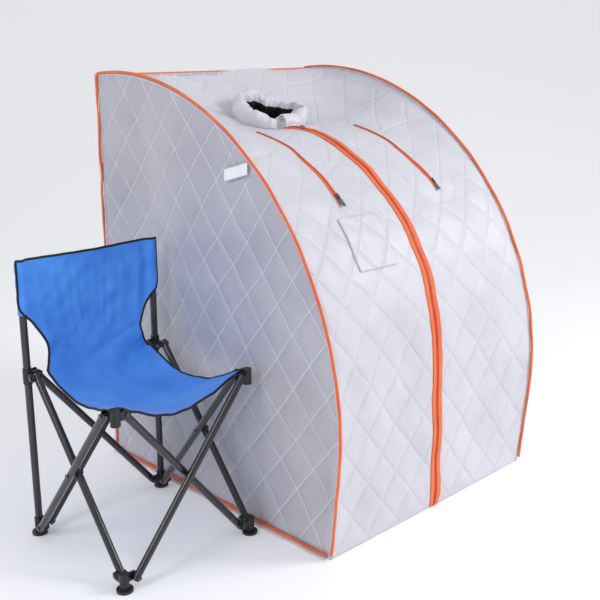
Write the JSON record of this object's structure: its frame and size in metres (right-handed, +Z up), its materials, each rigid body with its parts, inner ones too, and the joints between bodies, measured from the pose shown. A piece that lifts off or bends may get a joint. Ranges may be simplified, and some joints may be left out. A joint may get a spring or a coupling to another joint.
{
  "type": "portable steam sauna",
  "caption": "Quilted one-person sauna tent on a rod frame, with a neck collar, a front zip that opens into two flaps, arm zips, a steam inlet and a folding sling chair.",
  "frame": {"origin": "centre of the tent's floor, on the ground", "axes": "+Z up, -Y towards the zipped front, +X to the right seen from the front"},
  "size_m": [1.0954, 0.8405, 0.9928],
  "materials": {
    "quilt_side": "quilted satin",
    "quilt_front": "quilted satin",
    "floor_fabric": "coated",
    "orange_piping": "woven",
    "zip_tape": "woven",
    "zip_metal": "satin",
    "white_tag": "matte",
    "glass_fibre": "satin",
    "black_plastic": "moulded",
    "black_tube": "powder coat",
    "blue_fabric": "woven polyester"
  },
  "bodies": {
    "tent": {"floor_mat": "floor_fabric", "left_side_panel": "quilt_side", "right_side_panel": "quilt_side", "back_panel": "quilt_side", "top_cover": "quilt_front", "left_front_cover": "quilt_front", "right_front_cover": "quilt_front", "left_piping": "orange_piping", "right_piping": "orange_piping", "rear_piping": "orange_piping", "left_zip_tape": "zip_tape", "right_zip_tape": "zip_tape", "left_arm_tape": "zip_tape", "right_arm_tape": "zip_tape", "neck_collar": "quilt_front", "patch_pocket": "quilt_front", "side_tag": "white_tag", "left_arch_rod": "glass_fibre", "right_arch_rod": "glass_fibre", "rear_posts": "glass_fibre", "floor_side_rods": "glass_fibre", "cross_rods": "glass_fibre", "corner_connectors": "black_plastic", "steam_port": "black_plastic", "steam_port_nut": "black_plastic"},
    "left_flap": {"left_door_flap": "quilt_front", "left_zip_tape_lower": "zip_tape"},
    "right_flap": {"right_door_flap": "quilt_front", "right_zip_tape_lower": "zip_tape"},
    "zip_slider": {"zip_slider": "zip_metal"},
    "zip_pull": {"zip_pull": "zip_metal"},
    "left_arm_slider": {"left_arm_slider": "zip_metal"},
    "left_arm_pull": {"left_arm_pull": "zip_metal"},
    "right_arm_slider": {"right_arm_slider": "zip_metal"},
    "right_arm_pull": {"right_arm_pull": "zip_metal"},
    "collar_tab": {"collar_tab": "quilt_front"},
    "chair_base": {"foot_rear_left": "black_plastic", "chair_post_left": "black_tube", "backrest": "blue_fabric"},
    "foot_rear_right": {"foot_rear_right": "black_plastic", "chair_post_right": "black_tube"},
    "foot_front_left": {"foot_front_left": "black_plastic"},
    "foot_front_right": {"foot_front_right": "black_plastic"},
    "hub_rear_left": {"hub_rear_left": "black_plastic"},
    "hub_front_left": {"hub_front_left": "black_plastic"},
    "hub_front_right": {"hub_front_right": "black_plastic"},
    "hub_rear_right": {"hub_rear_right": "black_plastic"},
    "leg_front_rising": {"leg_front_rising": "black_tube"},
    "leg_front_falling": {"leg_front_falling": "black_tube"},
    "leg_right_rising": {"leg_right_rising": "black_tube"},
    "leg_right_falling": {"leg_right_falling": "black_tube"},
    "leg_back_rising": {"leg_back_rising": "black_tube"},
    "leg_back_falling": {"leg_back_falling": "black_tube"},
    "leg_left_rising": {"leg_left_rising": "black_tube"},
    "leg_left_falling": {"leg_left_falling": "black_tube"},
    "seat_rear_left": {"seat_rear_left": "blue_fabric"},
    "seat_front_left": {"seat_front_left": "blue_fabric"},
    "seat_front_right": {"seat_front_right": "blue_fabric"},
    "seat_rear_right": {"seat_rear_right": "blue_fabric"}
  },
  "joints": [
    {"name": "left_flap_fold", "type": "hinge", "parent": "tent", "child": "left_flap", "pos_m": [-0.00502, -0.39581, 0.50167], "axis": [-0.5702, -0.0377, -0.8207], "range_deg": [0, 140]},
    {"name": "right_flap_fold", "type": "hinge", "parent": "tent", "child": "right_flap", "pos_m": [0.00502, -0.39581, 0.50167], "axis": [-0.5702, 0.0377, 0.8207], "range_deg": [0, 140]},
    {"name": "main_zip_travel", "type": "hinge", "parent": "tent", "child": "zip_slider", "pos_m": [0, 0.103, 0.353], "axis": [1, 0, 0], "range_deg": [0, 78]},
    {"name": "main_pull_lift", "type": "hinge", "parent": "zip_slider", "child": "zip_pull", "pos_m": [0, 0.04136, 0.85503], "axis": [-1, 0, 0], "range_deg": [0, 110]},
    {"name": "left_arm_zip_travel", "type": "hinge", "parent": "tent", "child": "left_arm_slider", "pos_m": [-0.165, 0.1177, 0.34733], "axis": [1, 0, 0], "range_deg": [-29, 0]},
    {"name": "left_arm_pull_lift", "type": "hinge", "parent": "left_arm_slider", "child": "left_arm_pull", "pos_m": [-0.165, -0.23553, 0.73521], "axis": [-1, 0, 0], "range_deg": [0, 110]},
    {"name": "right_arm_zip_travel", "type": "hinge", "parent": "tent", "child": "right_arm_slider", "pos_m": [0.165, 0.1177, 0.34733], "axis": [1, 0, 0], "range_deg": [-29, 0]},
    {"name": "right_arm_pull_lift", "type": "hinge", "parent": "right_arm_slider", "child": "right_arm_pull", "pos_m": [0.165, -0.23553, 0.73521], "axis": [-1, 0, 0], "range_deg": [0, 110]},
    {"name": "collar_tab_open", "type": "hinge", "parent": "tent", "child": "collar_tab", "pos_m": [-0.03817, 0.06864, 0.88373], "axis": [0, 0.2588, -0.9659], "range_deg": [0, 120]},
    {"name": "chair_shift", "type": "slide", "parent": "tent", "child": "chair_base", "axis": [-1, 0, 0], "range_m": [0, 0.4]},
    {"name": "chair_fold", "type": "hinge", "parent": "chair_base", "child": "leg_left_rising", "pos_m": [-0.72, 0.121, 0.025], "axis": [-1, 0, 0], "range_deg": [0, 32.76], "deforming": ["backrest", "seat_rear_left", "seat_front_left", "seat_front_right", "seat_rear_right"]},
    {"name": "front_left_hub_turn", "type": "hinge", "parent": "leg_left_rising", "child": "hub_front_left", "pos_m": [-0.72, -0.161, 0.37], "axis": [-1, 0, 0], "range_deg": [-33.06, 0]},
    {"name": "front_falling_turn", "type": "hinge", "parent": "hub_front_left", "child": "leg_front_falling", "pos_m": [-0.696, -0.185, 0.37], "axis": [0, 1, 0], "range_deg": [0, 33.06]},
    {"name": "front_right_foot_turn", "type": "hinge", "parent": "leg_front_falling", "child": "foot_front_right", "pos_m": [-0.414, -0.185, 0.025], "axis": [0, 1, 0], "range_deg": [-33.06, 0]},
    {"name": "left_scissor", "type": "hinge", "parent": "leg_left_rising", "child": "leg_left_falling", "pos_m": [-0.72, -0.02, 0.1975], "axis": [-1, 0, 0], "range_deg": [-65.82, 0]},
    {"name": "front_left_foot_turn", "type": "hinge", "parent": "leg_left_falling", "child": "foot_front_left", "pos_m": [-0.72, -0.161, 0.025], "axis": [-1, 0, 0], "range_deg": [0, 33.06]},
    {"name": "rear_left_hub_turn", "type": "hinge", "parent": "leg_left_falling", "child": "hub_rear_left", "pos_m": [-0.72, 0.121, 0.37], "axis": [-1, 0, 0], "range_deg": [0, 33.06]},
    {"name": "back_falling_turn", "type": "hinge", "parent": "chair_base", "child": "leg_back_falling", "pos_m": [-0.696, 0.145, 0.025], "axis": [0, -1, 0], "range_deg": [0, 33.06]},
    {"name": "rear_right_hub_turn", "type": "hinge", "parent": "leg_back_falling", "child": "hub_rear_right", "pos_m": [-0.414, 0.145, 0.37], "axis": [0, -1, 0], "range_deg": [-33.06, 0]},
    {"name": "back_scissor", "type": "hinge", "parent": "leg_back_falling", "child": "leg_back_rising", "pos_m": [-0.555, 0.145, 0.1975], "axis": [0, -1, 0], "range_deg": [-65.82, 0]},
    {"name": "rear_right_foot_turn", "type": "hinge", "parent": "leg_back_rising", "child": "foot_rear_right", "pos_m": [-0.414, 0.145, 0.025], "axis": [0, -1, 0], "range_deg": [0, 33.06]},
    {"name": "right_rising_turn", "type": "hinge", "parent": "hub_rear_right", "child": "leg_right_rising", "pos_m": [-0.39, 0.121, 0.37], "axis": [1, 0, 0], "range_deg": [0, 33.06]},
    {"name": "right_falling_turn", "type": "hinge", "parent": "foot_rear_right", "child": "leg_right_falling", "pos_m": [-0.39, 0.121, 0.025], "axis": [-1, 0, 0], "range_deg": [0, 33.06]},
    {"name": "front_right_hub_turn", "type": "hinge", "parent": "leg_right_falling", "child": "hub_front_right", "pos_m": [-0.39, -0.161, 0.37], "axis": [-1, 0, 0], "range_deg": [-33.06, 0]},
    {"name": "front_rising_turn", "type": "hinge", "parent": "hub_front_right", "child": "leg_front_rising", "pos_m": [-0.414, -0.185, 0.37], "axis": [0, -1, 0], "range_deg": [0, 33.06]},
    {"name": "seat_rear_left_droop", "type": "hinge", "parent": "hub_rear_left", "child": "seat_rear_left", "pos_m": [-0.72, 0.145, 0.392], "axis": [0.7071, 0.7071, 0], "range_deg": [0, 74.3]},
    {"name": "seat_front_left_droop", "type": "hinge", "parent": "hub_front_left", "child": "seat_front_left", "pos_m": [-0.72, -0.185, 0.392], "axis": [-0.7071, 0.7071, 0], "range_deg": [0, 74.3]},
    {"name": "seat_front_right_droop", "type": "hinge", "parent": "hub_front_right", "child": "seat_front_right", "pos_m": [-0.39, -0.185, 0.392], "axis": [-0.7071, -0.7071, 0], "range_deg": [0, 74.3]},
    {"name": "seat_rear_right_droop", "type": "hinge", "parent": "hub_rear_right", "child": "seat_rear_right", "pos_m": [-0.39, 0.145, 0.392], "axis": [0.7071, -0.7071, 0], "range_deg": [0, 74.3]}
  ],
  "couplings": [
    {"joint": "front_left_hub_turn", "follows": "chair_fold", "ratio": -1},
    {"joint": "front_falling_turn", "follows": "chair_fold", "ratio": 1},
    {"joint": "front_right_foot_turn", "follows": "chair_fold", "ratio": -1},
    {"joint": "left_scissor", "follows": "chair_fold", "ratio": -2},
    {"joint": "front_left_foot_turn", "follows": "chair_fold", "ratio": 1},
    {"joint": "rear_left_hub_turn", "follows": "chair_fold", "ratio": 1},
    {"joint": "back_falling_turn", "follows": "chair_fold", "ratio": 1},
    {"joint": "rear_right_hub_turn", "follows": "chair_fold", "ratio": -1},
    {"joint": "back_scissor", "follows": "chair_fold", "ratio": -2},
    {"joint": "rear_right_foot_turn", "follows": "chair_fold", "ratio": 1},
    {"joint": "right_rising_turn", "follows": "chair_fold", "ratio": 1},
    {"joint": "right_falling_turn", "follows": "chair_fold", "ratio": 1},
    {"joint": "front_right_hub_turn", "follows": "chair_fold", "ratio": -1},
    {"joint": "front_rising_turn", "follows": "chair_fold", "ratio": 1},
    {"joint": "seat_rear_left_droop", "follows": "chair_fold", "ratio": 2.2589},
    {"joint": "seat_front_left_droop", "follows": "chair_fold", "ratio": 2.2589},
    {"joint": "seat_front_right_droop", "follows": "chair_fold", "ratio": 2.2589},
    {"joint": "seat_rear_right_droop", "follows": "chair_fold", "ratio": 2.2589}
  ]
}
